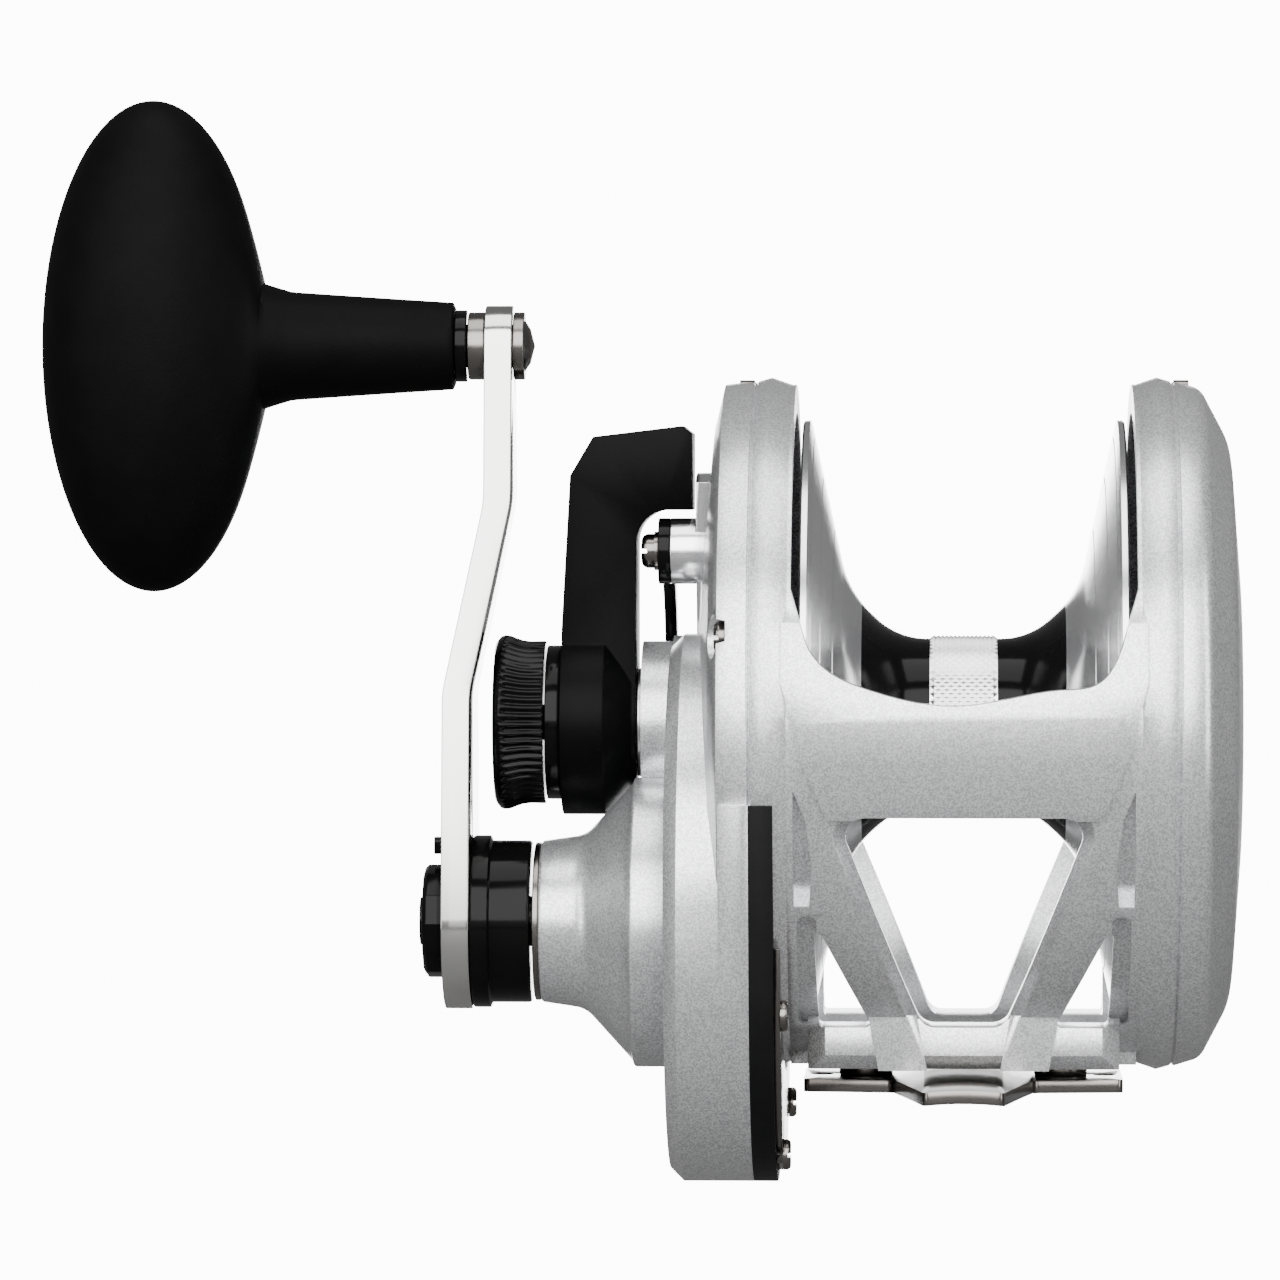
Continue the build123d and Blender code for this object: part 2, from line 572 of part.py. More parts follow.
# --- foot ---------------------------------------------------------------------------------------
def make_foot():
    """The stainless foot: flat wings with stud holes and an arched tongue to front and rear."""
    half_w, wing_y = 22.15, 9.0
    right = [(5.4, -TONGUE_Y), (9.8, -wing_y - 1.5), (half_w, -wing_y), (half_w, wing_y),
             (9.8, wing_y + 1.5), (5.4, TONGUE_Y)]
    outline = mirrored(right)
    blank = extrude(rounded(outline, 1.0), FOOT_T + 1.2)
    arch_r = 46.0
    crown = Pos(0, 0, FOOT_T + 1.15 - arch_r) * Rot(90, 0, 0) * Cylinder(arch_r, 90)
    hollow = Pos(0, 0, 1.1 - arch_r) * Rot(90, 0, 0) * Cylinder(arch_r, 90)
    tongue = (blank & crown & Box(19.6, 90, 20)) - hollow
    wings = extrude(rounded(outline, 1.0), FOOT_T) - Box(19.6, 90, 20)
    foot = wings + tongue
    for x in FOOT_SCREW_X:
        foot -= Pos(x, 0, 0) * Cylinder(1.6, 10)
        foot -= Pos(x, 0, 0.45) * Cone(2.9, 1.6, 1.3)
    for side in (-1, 1):
        foot -= Pos(side * STUD_X, 0, 0) * Cylinder(STUD_HOLE_R, 10)
    return foot


def make_foot_spacers():
    """The two round spacers between the foot and the frame's base."""
    return Compound([Pos(x, 0, (FOOT_T + BASE_Z[0]) / 2)
                     * (Cylinder(3.7, BASE_Z[0] - FOOT_T) - Cylinder(1.5, 10)) for x in FOOT_SCREW_X])


def make_foot_screws():
    """Countersunk screws up through the foot and spacers into the base."""
    screws = []
    for x in FOOT_SCREW_X:
        head = Pos(x, 0, 0.6) * Cone(2.4, 1.45, 1.0)
        shank = Pos(x, 0, 3.9) * Cylinder(1.45, 5.8)
        cross = Pos(x, 0, 0) * (Box(3.2, 0.6, 1.0) + Box(0.6, 3.2, 1.0))
        screws.append(head + shank - cross)
    return Compound(screws)


# --- fasteners and small works ------------------------------------------------------------------
def make_plate_screws():
    """Screws that hold the handle plate to the frame, in scalloped seats."""
    return Compound([pan_screw(-33.6, -29.4, around(44.2, angle), 2.2, 1.6, 1.25)
                     for angle in PLATE_SCREW_ANGLES])


def make_bridge_screws():
    """Screws through the bridge's inner plate."""
    return Compound([pan_screw(BRIDGE_X + 2.0, -28.6, spot, 2.1, 1.1, 1.25, way=-1)
                     for spot in BRIDGE_SCREWS])


def make_quadrant_screws():
    """Slotted screws with washers that hold the quadrant on its posts."""
    screws = []
    for angle in POST_ANGLES:
        spot = around(POST_R, angle)
        screws.append(pan_screw(-44.9, -36.5, spot, 2.4, 1.8, 1.15) + rod(-43.1, -42.5, 2.7, spot))
    return Compound(screws)


def make_dog():
    """The anti-reverse dog, held just clear of the ratchet while the crank winds."""
    pin = Vector(*DOG_PIN)
    toward = Vector(CRANK[0] - DOG_PIN[0], CRANK[1] - DOG_PIN[1]).normalized()
    aside = Vector(-toward.Y, toward.X)
    tip = pin + toward * 3.2 + aside * 4.6
    back = pin + aside * 2.0
    heel = pin + toward * 1.9
    finger = make_face(Polyline(*[(p.X, p.Y) for p in (back, tip, heel)], close=True))
    face = Pos(pin.X, pin.Y) * Circle(2.1) + finger
    return plate(face, -42.2, -40.6) - rod(-45, -38, 1.0 + FIT, DOG_PIN)


def make_dog_pin():
    """The dog's pivot, pressed into the cone."""
    return rod(-45.2, -40.2, 1.0, DOG_PIN)


def make_clicker_button():
    """The clicker's sliding thumb button in the tail plate, with its pawl behind."""
    z = SPOOL[1] - CLICKER_R
    button = Pos(37.15, 0, z - 2.2) * Box(2.9, 5.0, 5.4)
    button = fillet(button.edges().filter_by(Axis.X), 1.2)
    stem = Pos(33.4, 0, z - 2.2) * Box(5.0, 4.0, 4.0)
    carrier = Pos(30.0, 0, z - 1.0) * Box(2.0, 9.0, 9.0)
    return swung(button + stem + carrier, CLICKER_ANGLE)


def make_clicker_pawl():
    """The sprung steel tongue that ticks on the clicker ring."""
    z = SPOOL[1] - CLICKER_R
    post = Pos(24.35, 0, z) * Box(9.3, 3.0, 3.0)
    tongue = Pos(20.15, 0, z + 3.5) * Box(0.9, 1.2, 9.2)
    return swung(post + tongue, CLICKER_ANGLE)


def make_parts():
    """Every piece by node name."""
    handle_plate = make_handle_plate()
    quadrant_base = make_quadrant_base(handle_plate)
    return {
        "reel_frame": make_frame(),
        "handle_side_plate": handle_plate,
        "tail_side_plate": make_tail_plate(),
        "gear_case_cone": make_cone(),
        "nose_washer": tube(-59.5, NOSE_X, 11.0, GEAR_SHAFT_R + 0.5, CRANK),
        "bridge_plate": make_bridge(),
        "bridge_inner_plate": make_bridge_inner(),
        "bridge_screws": make_bridge_screws(),
        "handle_plate_screws": make_plate_screws(),
        "seam_screws": make_seam_screws(),
        "reel_foot": make_foot(),
        "foot_spacers": make_foot_spacers(),
        "foot_screws": make_foot_screws(),
        "quadrant_base": quadrant_base,
        "quadrant_posts": make_posts(handle_plate, quadrant_base),
        "quadrant_plate": make_quadrant_plate(),
        "quadrant_screws": make_quadrant_screws(),
        "spool_shaft": rod(-61.5, 35.0, SHAFT_R),
        "sleeve_bearing_outer": bearing(-44.4, -40.2, 6.0, SLEEVE_R + FIT),
        "sleeve_bearing_inner": bearing(-28.6, -25.8, 6.0, SLEEVE_R + FIT),
        "crank_bearing_outer": bearing(-58.2, -54.2, 7.0, GEAR_SHAFT_R + FIT, CRANK),
        "crank_bearing_inner": bearing(-28.6, -25.8, 6.5, GEAR_SHAFT_R + FIT, CRANK),
        "drive_sleeve": tube(-44.0, -19.8, SLEEVE_R, SHAFT_R + FIT),
        "high_pinion": spur_gear(TEETH_HIGH[1], -37.9, -33.9, SPOOL, CRANK, 0.5, SLEEVE_R),
        "low_pinion": spur_gear(TEETH_LOW[1], -33.7, -29.9, SPOOL, CRANK, 0.5, SLEEVE_R),
        "drag_drive_plate": make_drive_plate(),
        "spool": make_spool(),
        "spool_knurled_band": make_arbor_band(),
        "spool_bearing_handle_side": bearing(-14.0, -10.0, 5.5, SHAFT_R + FIT),
        "spool_bearing_tail_side": bearing(14.0, 18.0, 5.5, SHAFT_R + FIT),
        "drag_washer": tube(-19.7, -18.9, 24.0, 12.0),
        "clicker_gear": make_clicker_gear(),
        "high_gear": spur_gear(TEETH_HIGH[0], -37.6, -34.2, CRANK, SPOOL, 0.0, GEAR_SHAFT_R),
        "low_gear": spur_gear(TEETH_LOW[0], -33.4, -30.2, CRANK, SPOOL, 0.0, GEAR_SHAFT_R + FIT),
        "gear_shaft": make_gear_shaft(),
        "ratchet": make_ratchet(),
        "anti_reverse_dog": make_dog(),
        "dog_pin": make_dog_pin(),
        "crank_sleeve": make_crank_sleeve(),
        "crank_arm": make_arm(),
        "arm_nut": make_arm_nut(),
        "low_gear_push": make_push(),
        "push_catch": make_catch(),
        "knob_grip": make_grip(),
        "knob_collar": tube(-70.6, -69.0, 5.0, 3.0 + FIT, KNOB),
        "knob_ring": tube(-68.8, -66.5, 4.7, 3.0, KNOB),
        "knob_washer": tube(-62.5, -61.0, 4.7, 3.0, KNOB),
        "knob_post": make_knob_post(),
        "drag_lever": make_lever(),
        "lever_bush": tube(-56.0, -45.6, 4.0, SHAFT_R + FIT),
        "lever_cam": tube(-45.5, -44.9, 7.6, SHAFT_R + FIT),
        "preset_collar": tube(-58.2, -56.1, 10.8, SHAFT_R + FIT),
        "preset_knob": make_preset_knob(),
        "clicker_button": make_clicker_button(),
        "clicker_pawl": make_clicker_pawl(),
    }


def main():
    os.makedirs("parts", exist_ok=True)
    for name, solid in make_parts().items():
        export_step(solid, os.path.join("parts", name + ".step"))


main()
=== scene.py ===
"""Looks of the two-speed trolling reel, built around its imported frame. Lengths are in metres."""

import json
import math

import bmesh
import bpy
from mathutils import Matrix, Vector


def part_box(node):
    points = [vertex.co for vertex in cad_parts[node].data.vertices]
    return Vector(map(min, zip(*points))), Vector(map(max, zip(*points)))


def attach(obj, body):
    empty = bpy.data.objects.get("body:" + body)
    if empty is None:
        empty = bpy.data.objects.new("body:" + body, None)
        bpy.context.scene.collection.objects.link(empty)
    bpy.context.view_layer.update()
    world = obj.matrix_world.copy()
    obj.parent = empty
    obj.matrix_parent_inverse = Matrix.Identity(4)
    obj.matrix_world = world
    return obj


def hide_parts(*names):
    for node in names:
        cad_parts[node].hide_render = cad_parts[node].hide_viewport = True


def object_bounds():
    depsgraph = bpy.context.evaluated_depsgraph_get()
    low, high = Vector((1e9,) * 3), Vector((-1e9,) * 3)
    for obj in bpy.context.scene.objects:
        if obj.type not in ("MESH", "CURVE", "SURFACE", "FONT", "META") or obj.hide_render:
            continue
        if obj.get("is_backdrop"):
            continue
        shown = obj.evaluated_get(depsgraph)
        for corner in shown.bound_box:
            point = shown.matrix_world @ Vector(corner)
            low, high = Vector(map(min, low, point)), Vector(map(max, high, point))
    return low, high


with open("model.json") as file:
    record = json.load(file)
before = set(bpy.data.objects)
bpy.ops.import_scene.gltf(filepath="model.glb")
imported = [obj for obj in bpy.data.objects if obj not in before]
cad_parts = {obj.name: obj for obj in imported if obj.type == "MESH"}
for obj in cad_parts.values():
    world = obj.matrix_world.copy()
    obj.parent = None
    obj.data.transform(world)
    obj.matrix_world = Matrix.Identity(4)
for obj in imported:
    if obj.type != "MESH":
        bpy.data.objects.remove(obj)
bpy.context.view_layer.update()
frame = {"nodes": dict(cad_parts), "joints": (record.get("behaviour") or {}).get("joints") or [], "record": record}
JOINTS = {joint["name"]: joint for joint in frame["joints"]}
BODY_OF = {node: body for body, nodes in frame["record"]["behaviour"]["bodies"].items() for node in nodes}
SLOT_OF = {part["node"]: part["material_slot"] for part in frame["record"]["subparts"]}
MM = 0.001
REMODELLED = {"knob_grip", "spool_knurled_band", "spool", "preset_knob"}
LATHE_PITCH = 0.2 * MM
WELD = 0.002 * MM
EDGE_BEVEL = 0.15 * MM
SPOOL_SEGMENTS = 256


def axis_of(joint):
    """The (y, z) of a joint's axis along X."""
    _, y, z = JOINTS[joint]["pos_m"]
    return y, z


SPOOL = axis_of("spool_turn")
KNOB = axis_of("knob_turn")


# --- materials ----------------------------------------------------------------------------------
def new_material(name, color, metallic, roughness):
    """A Principled material, with its node tree and its shader."""
    material = bpy.data.materials.new(name)
    material.use_nodes = True
    tree = material.node_tree
    shader = tree.nodes["Principled BSDF"]
    shader.inputs["Base Color"].default_value = (*color, 1)
    shader.inputs["Metallic"].default_value = metallic
    shader.inputs["Roughness"].default_value = roughness
    return material, tree, shader


def add(tree, kind, **inputs):
    """A node with its input values set by socket name."""
    node = tree.nodes.new(kind)
    for key, value in inputs.items():
        node.inputs[key.replace("_", " ")].default_value = value
    return node


def object_coords(tree):
    """Coordinates that ride with the piece."""
    return tree.nodes.new("ShaderNodeTexCoord").outputs["Object"]


def noise(tree, scale, detail=4.0, roughness=0.55, coords=None):
    """Noise in object space."""
    node = add(tree, "ShaderNodeTexNoise", Scale=scale, Detail=detail, Roughness=roughness)
    tree.links.new(coords or object_coords(tree), node.inputs["Vector"])
    return node.outputs["Fac"]


def spread(tree, value, low, high):
    """A 0..1 value mapped to a range."""
    node = add(tree, "ShaderNodeMapRange", To_Min=low, To_Max=high)
    tree.links.new(value, node.inputs["Value"])
    return node.outputs["Result"]


def tint(tree, shader, value, dark, light):
    """Base colour that varies between two shades."""
    ramp = tree.nodes.new("ShaderNodeValToRGB")
    ramp.color_ramp.elements[0].color = (*dark, 1)
    ramp.color_ramp.elements[1].color = (*light, 1)
    ramp.color_ramp.elements[0].position = 0.3
    ramp.color_ramp.elements[1].position = 0.7
    tree.links.new(value, ramp.inputs["Fac"])
    tree.links.new(ramp.outputs["Color"], shader.inputs["Base Color"])


def bump(tree, shader, height, distance, strength=1.0):
    """Small relief on the surface, chained onto any relief already there."""
    node = add(tree, "ShaderNodeBump", Strength=strength, Distance=distance)
    tree.links.new(height, node.inputs["Height"])
    linked = shader.inputs["Normal"].links
    if linked:
        tree.links.new(linked[0].from_socket, node.inputs["Normal"])
    tree.links.new(node.outputs["Normal"], shader.inputs["Normal"])


def turning_lines(tree, axis, pitch):
    """Fine lathe rings about an axis along X: a wave of the distance from it."""
    move = tree.nodes.new("ShaderNodeMapping")
    move.inputs["Location"].default_value = (0, -axis[0], -axis[1])
    tree.links.new(object_coords(tree), move.inputs["Vector"])
    flat = tree.nodes.new("ShaderNodeVectorMath")
    flat.operation = "MULTIPLY"
    share_of_x = 0.15  # enough for lines to show on cylinders too
    flat.inputs[1].default_value = (share_of_x, 1, 1)
    tree.links.new(move.outputs["Vector"], flat.inputs[0])
    length = tree.nodes.new("ShaderNodeVectorMath")
    length.operation = "LENGTH"
    tree.links.new(flat.outputs["Vector"], length.inputs[0])
    line = add(tree, "ShaderNodeTexNoise", Scale=1.0 / pitch, Detail=3.0)
    line.noise_dimensions = "1D"
    tree.links.new(length.outputs["Value"], line.inputs["W"])
    return line.outputs["Fac"]


def silver_paint():
    """Silver paint with fine metallic flake under a satin clear coat."""
    material, tree, shader = new_material("silver_paint", (0.55, 0.56, 0.57), 0.8, 0.34)
    flake = add(tree, "ShaderNodeTexVoronoi", Scale=5200.0)
    tree.links.new(object_coords(tree), flake.inputs["Vector"])
    tint(tree, shader, flake.outputs["Color"], (0.44, 0.445, 0.455), (0.70, 0.705, 0.715))
    tree.links.new(spread(tree, noise(tree, 90.0), 0.26, 0.33), shader.inputs["Roughness"])
    bump(tree, shader, noise(tree, 3800.0, 2.0), 0.00003, 0.5)
    shader.inputs["Coat Weight"].default_value = 0.25
    shader.inputs["Coat Roughness"].default_value = 0.22
    return material


def metal(name, color, roughness, grain=1400.0, stretch=(1, 1, 1), depth=0.000012, vary=0.06):
    """Bare metal with a fine directional grain."""
    material, tree, shader = new_material(name, color, 1.0, roughness)
    move = tree.nodes.new("ShaderNodeMapping")
    move.inputs["Scale"].default_value = stretch
    tree.links.new(object_coords(tree), move.inputs["Vector"])
    lines = noise(tree, grain, 3.0, 0.6, move.outputs["Vector"])
    low, high = max(roughness - vary, 0.02), roughness + vary
    tree.links.new(spread(tree, lines, low, high), shader.inputs["Roughness"])
    dark = tuple(c * 0.93 for c in color)
    tint(tree, shader, noise(tree, 60.0), dark, color)
    bump(tree, shader, lines, depth, 0.6)
    return material


def turned_metal(name, color, roughness, axis):
    """Bare metal turned on a lathe about an axis along X."""
    material, tree, shader = new_material(name, color, 1.0, roughness)
    rings = turning_lines(tree, axis, LATHE_PITCH)
    tree.links.new(spread(tree, rings, roughness * 0.7, roughness * 1.4), shader.inputs["Roughness"])
    dark = tuple(c * 0.9 for c in color)
    tint(tree, shader, rings, dark, color)
    bump(tree, shader, rings, 0.000006, 0.5)
    return material


def black_finish(name, shade, roughness, shine=0.5, grain=0.0, depth=0.00002):
    """Black anodising, paint or plastic, from gloss to matte."""
    material, tree, shader = new_material(name, (shade, shade, shade), 0.0, roughness)
    shader.inputs["Specular IOR Level"].default_value = shine
    tree.links.new(spread(tree, noise(tree, 140.0), roughness * 0.85, roughness * 1.15),
                   shader.inputs["Roughness"])
    tint(tree, shader, noise(tree, 220.0), (shade * 0.8,) * 3, (shade * 1.15,) * 3)
    if grain:
        bump(tree, shader, noise(tree, grain, 2.0), depth, 0.7)
    return material


def make_materials():
    """One material for each of the record's slots."""
    return {
        "silver_paint": silver_paint(),
        "machined_alloy": turned_metal("machined_alloy", (0.86, 0.86, 0.87), 0.2, SPOOL),
        "polished_alloy": metal("polished_alloy", (0.62, 0.615, 0.60), 0.14, grain=900.0,
                                stretch=(1, 1, 0.06), depth=0.000004, vary=0.03),
        "knurled_alloy": metal("knurled_alloy", (0.82, 0.82, 0.82), 0.3),
        "black_bridge": black_finish("black_bridge", 0.004, 0.5, 0.1, grain=1800.0),
        "black_anodised": black_finish("black_anodised", 0.002, 0.12, 0.09),
        "black_satin": black_finish("black_satin", 0.0015, 0.4, 0.04, grain=2600.0, depth=0.00001),
        "black_rubber": black_finish("black_rubber", 0.0015, 0.55, 0.035, grain=2400.0, depth=0.00004),
        "stainless": metal("stainless", (0.18, 0.168, 0.157), 0.22, grain=1200.0, stretch=(0.1, 1, 1)),
        "bearing_steel": metal("bearing_steel", (0.7, 0.7, 0.71), 0.15),
        "gear_steel": metal("gear_steel", (0.5, 0.5, 0.5), 0.3),
        "gear_bronze": metal("gear_bronze", (0.66, 0.47, 0.25), 0.3),
        "carbon_washer": black_finish("carbon_washer", 0.03, 0.55, grain=3000.0),
        "black_plastic": black_finish("black_plastic", 0.02, 0.4, grain=2000.0),
    }


MATERIALS = make_materials()


# --- meshes -------------------------------------------------------------------------------------
def place(piece, body, slot, nodes=()):
    """Gives a finished piece the material of its slot and its body, and hides the CAD nodes it stands for."""
    piece.data.materials.clear()
    piece.data.materials.append(MATERIALS[slot])
    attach(piece, body)
    if nodes:
        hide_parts(*nodes)
    return piece


def smooth_by_angle(mesh, degrees=32.0):
    """Smooth shading with sharp edges where faces meet steeply."""
    mesh.shade_smooth()
    mesh.set_sharp_from_angle(angle=math.radians(degrees))


def new_object(name, vertices, faces):
    """A mesh object from its vertices and faces, placed in the scene."""
    mesh = bpy.data.meshes.new(name)
    mesh.from_pydata(vertices, [], faces)
    mesh.validate()
    piece = bpy.data.objects.new(name, mesh)
    bpy.context.scene.collection.objects.link(piece)
    return piece


def apply_modifiers(piece):
    """Bakes an object's modifiers into its mesh."""
    graph = bpy.context.evaluated_depsgraph_get()
    mesh = bpy.data.meshes.new_from_object(piece.evaluated_get(graph))
    piece.modifiers.clear()
    piece.data = mesh


def refined(node):
    """A copy of a CAD node with its hard edges broken by a small rounded bevel."""
    mesh = frame["nodes"][node].data.copy()
    work = bmesh.new()
    work.from_mesh(mesh)
    bmesh.ops.remove_doubles(work, verts=work.verts, dist=WELD)
    bmesh.ops.dissolve_degenerate(work, edges=work.edges, dist=WELD)
    work.to_mesh(mesh)
    work.free()
    piece = bpy.data.objects.new(node + "_look", mesh)
    bpy.context.scene.collection.objects.link(piece)
    edge = piece.modifiers.new("edge", "BEVEL")
    edge.width = EDGE_BEVEL
    edge.segments = 2
    edge.limit_method = "ANGLE"
    edge.angle_limit = math.radians(28.0)
    apply_modifiers(piece)
    smooth_by_angle(piece.data, 38.0)
    return place(piece, BODY_OF[node], SLOT_OF[node], [node])


def recalculate_normals(piece, merge=0.0):
    """Turns every face outwards, after joining vertices closer than the merge distance."""
    work = bmesh.new()
    work.from_mesh(piece.data)
    if merge:
        bmesh.ops.remove_doubles(work, verts=work.verts, dist=merge)
    bmesh.ops.recalc_face_normals(work, faces=work.faces)
    work.to_mesh(piece.data)
    work.free()


def circle(axis, x, r, count):
    """The points of a circle about an axis along X."""
    turns = [2 * math.pi * j / count for j in range(count)]
    return [(x, axis[0] + r * math.cos(turn), axis[1] + r * math.sin(turn)) for turn in turns]


def band(first, second, count):
    """Quads between two rings of vertices, from the index at which each ring starts."""
    faces = []
    for j in range(count):
        k = (j + 1) % count
        faces.append((first + j, first + k, second + k, second + j))
    return faces


def turned_faces(steps, count):
    """Quads of a turned piece that repeats a closed profile of so many points at each step."""
    faces = []
    for step in range(steps):
        here, there = step * count, (step + 1) % steps * count
        for i in range(count):
            j = (i + 1) % count
            faces.append((here + i, here + j, there + j, there + i))
    return faces


def lathe(name, profile, axis, segments):
    """A turned piece from (x, radius) points in metres, about an axis along X."""
    vertices = []
    for step in range(segments):
        turn = 2 * math.pi * step / segments
        for x, r in profile:
            vertices.append((x, axis[0] + r * math.cos(turn), axis[1] + r * math.sin(turn)))
    piece = new_object(name, vertices, turned_faces(segments, len(profile)))
    recalculate_normals(piece)
    smooth_by_angle(piece.data)
    return piece


# --- pieces -------------------------------------------------------------------------------------
def smooth_max(a, b, width):
    """The larger of two values, blended where they are within a width of each other."""
    near = max(0.0, 1 - abs(a - b) / width)
    return max(a, b) + width / 4 * near * near


def make_grip():
    """The T-shaped rubber grip: sections along its axis, oval in the head, round in the neck."""
    low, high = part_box("knob_grip")
    half_x, half_y, half_z = 15.5 * MM, (high.y - low.y) / 2, (high.z - low.z) / 2
    centre_x = low.x + half_x
    end_x = high.x
    neck_x, neck_r, tip_r = centre_x + 19.4 * MM, 7.5 * MM, 5.75 * MM
    bore_r, bore_depth = 3.05 * MM, 8 * MM
    end_step, end_drop = 0.3 * MM, 0.35 * MM
    head_rows, neck_rows, segments = 88, 36, 112
    stations = []
    for i in range(head_rows + 1):
        turn = math.pi * 0.995 * i / head_rows
        stations.append(centre_x - half_x * math.cos(turn))
    head_end = stations[-1]
    neck_length = end_x - end_step - head_end
    stations += [head_end + neck_length * i / neck_rows for i in range(1, neck_rows + 1)]
    vertices, faces = [], []
    for x in stations:
        inside = max(0.0, 1 - ((x - centre_x) / half_x) ** 2)
        swell = math.sqrt(inside)
        along = max(0.0, (x - neck_x) / (end_x - neck_x))
        flare = max(0.0, neck_x - x) * 0.32
        neck = neck_r + (tip_r - neck_r) * along + flare
        if x < centre_x:
            neck = 0.0
        tall = smooth_max(half_z * swell, neck, 9.0 * MM) if neck else half_z * swell
        deep = smooth_max(half_y * swell, neck, 2.5 * MM) if neck else half_y * swell
        for j in range(segments):
            turn = 2 * math.pi * j / segments
            vertices.append((x, KNOB[0] + deep * math.cos(turn), KNOB[1] + tall * math.sin(turn)))
    for i in range(len(stations) - 1):
        faces += band(i * segments, (i + 1) * segments, segments)
    last = (len(stations) - 1) * segments
    for x, r in ((end_x, tip_r - end_drop), (end_x, bore_r), (end_x - bore_depth, bore_r)):
        start = len(vertices)
        vertices += circle(KNOB, x, r, segments)
        faces += band(last, start, segments)
        last = start
    faces.append(tuple(last + j for j in range(segments)))
    piece = new_object("grip", vertices, faces)
    recalculate_normals(piece, 0.00001)
    smooth_by_angle(piece.data, 50.0)
    return place(piece, "knob", "black_rubber", ["knob_grip"])


def eased(points, rounds):
    """A half section in mm with some corners turned into arcs; rounds maps an index to a radius."""
    arc_steps = 12
    out = []
    for i, point in enumerate(points):
        if i not in rounds:
            out.append(point)
            continue
        corner = Vector(point)
        before = (Vector(points[i - 1]) - corner).normalized()
        after = (Vector(points[i + 1]) - corner).normalized()
        half = before.angle(after) / 2
        centre = corner + (before + after).normalized() * rounds[i] / math.sin(half)
        start = corner + before * rounds[i] / math.tan(half) - centre
        end = corner + after * rounds[i] / math.tan(half) - centre
        for step in range(arc_steps + 1):
            arm = start.lerp(end, step / arc_steps).normalized() * rounds[i]
            out.append(tuple(centre + arm))
    return out


def make_spool():
    """The spool, drawn in mm: bright turned flanges and a gloss black arbor between them."""
    half = (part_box("spool")[1].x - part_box("spool")[0].x) / 2 / MM
    rim_r = (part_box("spool")[1].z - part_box("spool")[0].z) / 2 / MM
    arbor_r, seam_r, bore_r, recess_r = 11.8, 16.4, 5.5, 38.6
    back_x, lip, overlap = half - 3.4, 0.25, 0.2
    foot, edge = (half - 6.3, 18.2), (half - 1.2, rim_r - 0.7)
    slope = (edge[0] - foot[0]) / (edge[1] - foot[1])
    face = [(0.0, arbor_r), (half - 13.3, arbor_r), foot]
    for groove_r in (27.0, 34.2, 39.8):
        x = foot[0] + slope * (groove_r - foot[1])
        face += [(x, groove_r), (x + 0.3, groove_r + 0.2), (x + 0.4 * slope, groove_r + 0.4)]
    face.append(edge)
    face = eased(face, {1: 10.0, 2: 14.0})
    inner = [p for p in face if p[1] < seam_r]
    outer = [p for p in face if p[1] >= seam_r]
    join = outer[0]
    inner_back = (back_x, join[1] - overlap)
    back = [(half - 1.0, rim_r), (half - lip, rim_r), (half, rim_r - lip), (half, recess_r),
            (half - 0.7, recess_r), (back_x, 24.5), inner_back]
    for side in (-1, 1):
        section = [(side * x * MM, r * MM) for x, r in outer + back]
        flange = lathe("flange", section, SPOOL, SPOOL_SEGMENTS)
        place(flange, "spool", "machined_alloy", ["spool"])
    right = inner + [join, inner_back, (back_x, bore_r)]
    whole = [(-x, r) for x, r in reversed(right[1:])] + right
    arbor = lathe("arbor", [(x * MM, r * MM) for x, r in whole], SPOOL, SPOOL_SEGMENTS)
    place(arbor, "spool", "black_anodised", ["spool"])


def make_knob():
    """The preset knob, its rim and waist fluted all round."""
    low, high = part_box("preset_knob")
    length, rim_r = (high.x - low.x) / MM, (high.z - low.z) / 2 / MM
    profile = [(0.0, 2.6), (0.0, rim_r - 1.0), (0.25, rim_r - 0.55), (0.7, rim_r - 0.1), (1.1, rim_r),
               (1.5, rim_r), (2.0, rim_r - 0.08), (2.8, rim_r - 0.4), (3.7, rim_r - 0.7),
               (4.8, rim_r - 0.85), (length - 0.2, rim_r - 0.8), (length, rim_r - 1.0), (length, 2.6)]
    flutes, steps_each, flute_depth = 60, 10, 0.42
    flutes_from, flutes_to, face_r = 1.3, length - 0.1, 5
    steps = flutes * steps_each
    vertices = []
    for step in range(steps):
        turn = 2 * math.pi * step / steps
        groove = 0.5 - 0.5 * math.cos(flutes * turn)
        for x, r in profile:
            fluted = flutes_from < x < flutes_to and r > face_r
            radius = (r - (flute_depth * groove if fluted else 0.0)) * MM
            vertices.append((low.x + x * MM, SPOOL[0] + radius * math.cos(turn),
                             SPOOL[1] + radius * math.sin(turn)))
    piece = new_object("fluted_knob", vertices, turned_faces(steps, len(profile)))
    recalculate_normals(piece)
    smooth_by_angle(piece.data, 40.0)
    return place(piece, "preset", "black_anodised", ["preset_knob"])


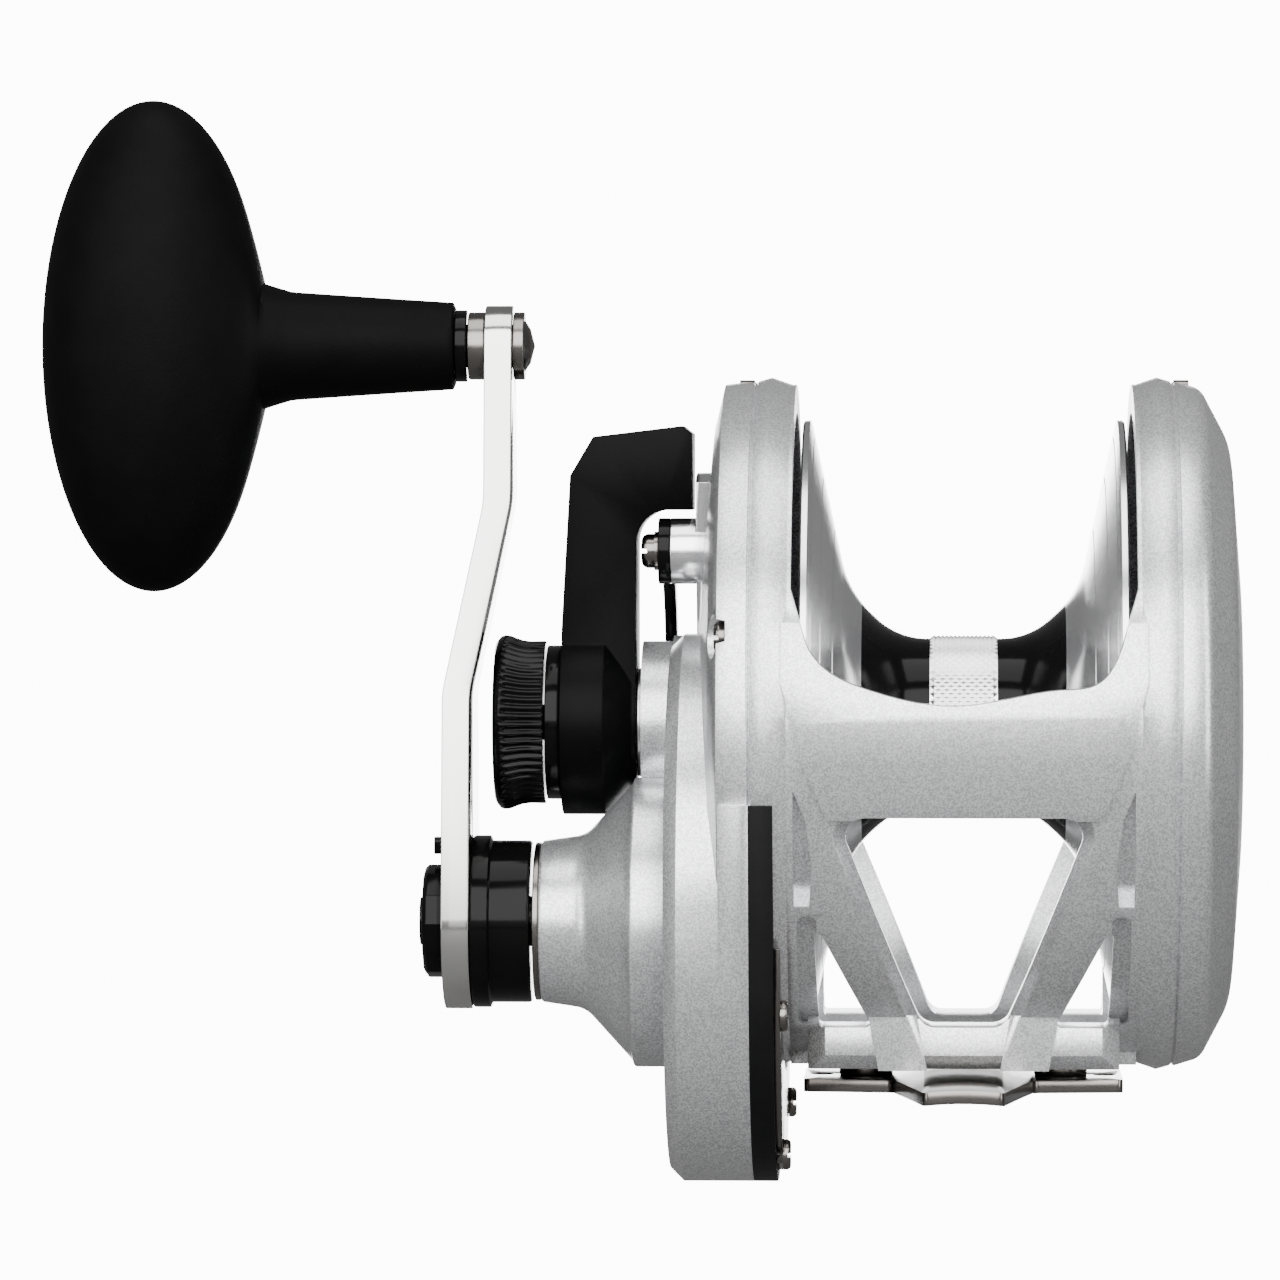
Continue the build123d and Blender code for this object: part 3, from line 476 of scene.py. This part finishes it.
def make_knurl():
    """The arbor's knurled band: rows of small pyramids between crossing grooves."""
    low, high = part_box("spool_knurled_band")
    outer = (high.z - low.z) / 2
    depth, inner = 0.42 * MM, outer - 0.45 * MM
    rows, around = 16, 132
    step = (high.x - low.x) / rows
    vertices, faces = [], []
    for i in range(rows + 1):
        for j in range(around):
            turn = 2 * math.pi * j / around
            peak = (i + j) % 2 == 1 and 0 < i < rows
            r = outer if peak else outer - depth
            vertices.append((low.x + i * step, SPOOL[0] + r * math.cos(turn), SPOOL[1] + r * math.sin(turn)))
    for i in range(rows):
        for j in range(around):
            k = (j + 1) % around
            a, b, c, d = i * around + j, (i + 1) * around + j, (i + 1) * around + k, i * around + k
            if (i + j) % 2 == 0:
                faces += [(a, b, c), (a, c, d)]
            else:
                faces += [(a, b, d), (b, c, d)]
    for i, x in ((0, low.x), (rows, high.x)):
        start = len(vertices)
        vertices += circle(SPOOL, x, inner, around)
        faces += band(i * around, start, around)
    first = len(vertices) - 2 * around
    faces += band(first, first + around, around)
    piece = new_object("knurled_band", vertices, faces)
    recalculate_normals(piece)
    return place(piece, "spool", "knurled_alloy", ["spool_knurled_band"])


# --- stage --------------------------------------------------------------------------------------
def make_camera():
    """A long lens from the rod-tip side, a little above the spool, turned towards the handle."""
    data = bpy.data.cameras.new("camera")
    data.sensor_width = 36.0
    data.lens = 200.9
    camera = bpy.data.objects.new("camera", data)
    bpy.context.scene.collection.objects.link(camera)
    camera.location = (-0.0019, -1.0, 0.087)
    camera.rotation_euler = (math.radians(88.6), 0, math.radians(2.486))
    bpy.context.scene.camera = camera


def make_card(name, corners, shade, glow=0.0):
    """A flat studio card: white and glowing, or dark to shade the metal."""
    card = new_object(name, corners, [(0, 1, 2, 3)])
    material, tree, shader = new_material(name, (shade, shade, shade), 0.0, 0.8)
    tint(tree, shader, noise(tree, 2.0), (shade * 0.98,) * 3, (shade,) * 3)
    shader.inputs["Emission Color"].default_value = (1, 1, 1, 1)
    shader.inputs["Emission Strength"].default_value = glow
    card.data.materials.append(material)
    card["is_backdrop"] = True


def upright(left, right, y, bottom, top):
    """The corners of an upright card that faces along Y."""
    return [(left, y, bottom), (right, y, bottom), (right, y, top), (left, y, top)]


def make_studio():
    """A bright backdrop far behind, a faint card behind the camera and a dark table below."""
    make_card("backdrop", upright(-0.64, 0.34, 3.0, -0.48, 0.48), 0.9, 12.0)
    wide, near, far = 1.3, -1.5, 1.2
    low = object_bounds()[0][2] - 0.17
    make_card("level", upright(-0.7, 0.7, -2.6, -0.15, 0.3), 0.9, 0.7)
    make_card("table", [(-wide, near, low), (wide, near, low), (wide, far, low), (-wide, far, low)], 0.12)


def make_light(name, place_at, aim, size, power):
    """A soft rectangular light."""
    data = bpy.data.lights.new(name, "AREA")
    data.shape = "RECTANGLE"
    data.size, data.size_y = size
    data.energy = power
    light = bpy.data.objects.new(name, data)
    bpy.context.scene.collection.objects.link(light)
    light.location = place_at
    light.rotation_euler = (Vector(aim) - Vector(place_at)).to_track_quat("-Z", "Y").to_euler()


def make_world():
    """A dim white surround."""
    world = bpy.data.worlds.new("studio")
    bpy.context.scene.world = world
    world.use_nodes = True
    background = world.node_tree.nodes["Background"]
    background.inputs["Color"].default_value = (1, 1, 1, 1)
    background.inputs["Strength"].default_value = 0.22


def main():
    """Sets the stage, then models four pieces again and refines the rest."""
    make_camera()
    make_world()
    make_studio()
    middle = (0, 0, 0.05)
    make_light("top", (0, -0.15, 0.9), middle, (0.9, 0.6), 8)
    make_light("left", (-0.9, -0.55, 0.35), middle, (0.35, 0.9), 6)
    make_light("right", (0.95, -0.5, 0.35), middle, (0.35, 0.9), 6)
    make_light("front", (0, -1.6, 0.85), middle, (2.4, 1.5), 95)
    make_grip()
    make_spool()
    make_knob()
    make_knurl()
    for node in frame["nodes"]:
        if node not in REMODELLED:
            refined(node)


main()
